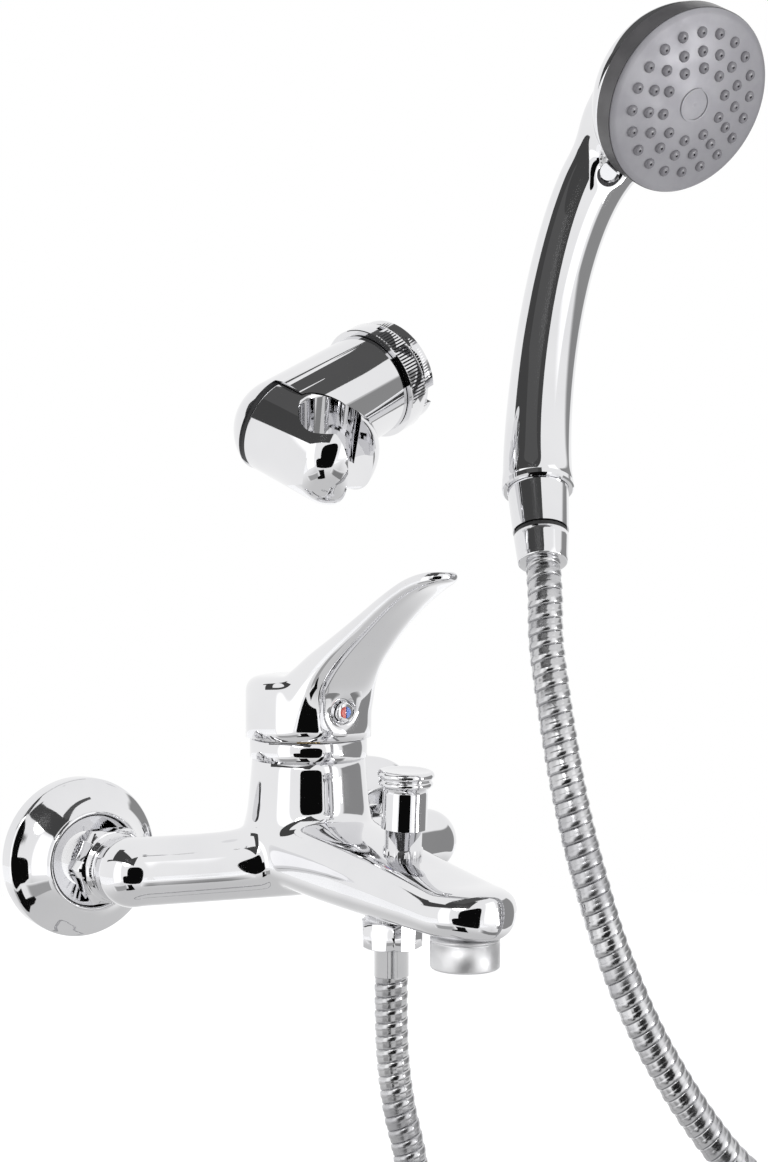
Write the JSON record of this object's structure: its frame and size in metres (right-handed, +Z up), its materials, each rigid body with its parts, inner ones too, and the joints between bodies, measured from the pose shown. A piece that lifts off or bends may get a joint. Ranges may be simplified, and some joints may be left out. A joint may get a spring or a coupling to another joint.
{
  "type": "bath shower mixer",
  "caption": "Wall-mounted single-lever bath mixer with a fixed spout, pull-up diverter, ribbed shower hose, round handset and a swivelling wall bracket.",
  "frame": {"origin": "on the wall's face, midway between the two inlets", "axes": "+X to the user's right along the wall, +Y into the wall, +Z up"},
  "size_m": [0.2582, 0.2989, 0.8036],
  "materials": {
    "chrome": "bright chrome plating",
    "brass": "turned brass",
    "rubber": "black rubber",
    "ceramic": "polished ceramic",
    "plastic": "moulded",
    "button": "moulded, red and blue marks",
    "steel": "steel",
    "rim_grey": "satin dark grey",
    "face_grey": "satin silver grey",
    "nozzle_grey": "silicone"
  },
  "bodies": {
    "body": {"left_union": "brass", "right_union": "brass", "left_flange": "chrome", "right_flange": "chrome", "left_nut": "chrome", "right_nut": "chrome", "left_washer": "rubber", "right_washer": "rubber", "mixer_body": "chrome", "trim_collar": "chrome", "cartridge_case": "plastic", "lower_disc": "ceramic", "cartridge_nut": "brass", "diverter_bonnet": "chrome", "shower_nipple": "brass", "aerator_housing": "chrome", "aerator_insert": "plastic", "aerator_seal": "rubber", "hose_nut": "chrome", "hose_washer": "rubber", "hose_ferrule": "chrome", "shower_hose": "chrome", "hose_sleeve": "chrome", "swivel_ring": "rubber", "bracket_plate": "chrome"},
    "turner": {"turn_guide": "plastic", "pivot_pin": "brass"},
    "lever": {"lever": "chrome", "lever_button": "button", "grub_screw": "steel", "spindle": "brass"},
    "sliding_disc": {"upper_disc": "ceramic"},
    "diverter": {"diverter_knob": "chrome", "diverter_rod": "brass", "diverter_seal": "rubber"},
    "handset": {"handset_nut": "chrome", "handset_washer": "rubber", "handset_shell": "chrome", "spray_rim": "rim_grey", "spray_face": "face_grey", "spray_nozzles": "nozzle_grey", "face_ring": "face_grey", "head_seal": "rubber"},
    "clamp": {"clamp_ring": "chrome"},
    "arm": {"bracket_arm": "chrome", "friction_ring": "rubber", "pivot_screw": "brass"},
    "holder": {"bracket_holder": "chrome"}
  },
  "joints": [
    {"name": "lever_turn", "type": "hinge", "parent": "body", "child": "turner", "pos_m": [0, -0.072, 0.0495], "axis": [0, 0, 1], "range_deg": [-50, 50]},
    {"name": "lever_lift", "type": "hinge", "parent": "turner", "child": "lever", "pos_m": [0, -0.072, 0.0495], "axis": [-1, 0, 0], "range_deg": [0, 22]},
    {"name": "disc_slide", "type": "slide", "parent": "turner", "child": "sliding_disc", "axis": [0, -1, 0], "range_m": [0, 0.0047]},
    {"name": "diverter_pull", "type": "slide", "parent": "body", "child": "diverter", "axis": [0, -0.0698, 0.9976], "range_m": [0, 0.008]},
    {"name": "handset_swivel", "type": "hinge", "parent": "body", "child": "handset", "pos_m": [0.039, -0.179, 0.157], "axis": [0.2511, 0.3972, 0.8827], "continuous": true},
    {"name": "clamp_turn", "type": "hinge", "parent": "body", "child": "clamp", "pos_m": [-0.009, -0.131, 0.2], "axis": [0.8931, 0.1512, 0.4237], "range_deg": [-90, 30]},
    {"name": "bracket_turn", "type": "hinge", "parent": "body", "child": "arm", "pos_m": [-0.009, -0.131, 0.2], "axis": [0.8931, 0.1512, 0.4237], "range_deg": [-90, 90]},
    {"name": "holder_tilt", "type": "hinge", "parent": "arm", "child": "holder", "pos_m": [-0.05187, -0.13826, 0.17966], "axis": [0.3454, -0.8339, -0.4305], "range_deg": [-45, 45]}
  ],
  "couplings": [
    {"joint": "disc_slide", "follows": "lever_lift", "m_per_rad": 0.0117}
  ]
}
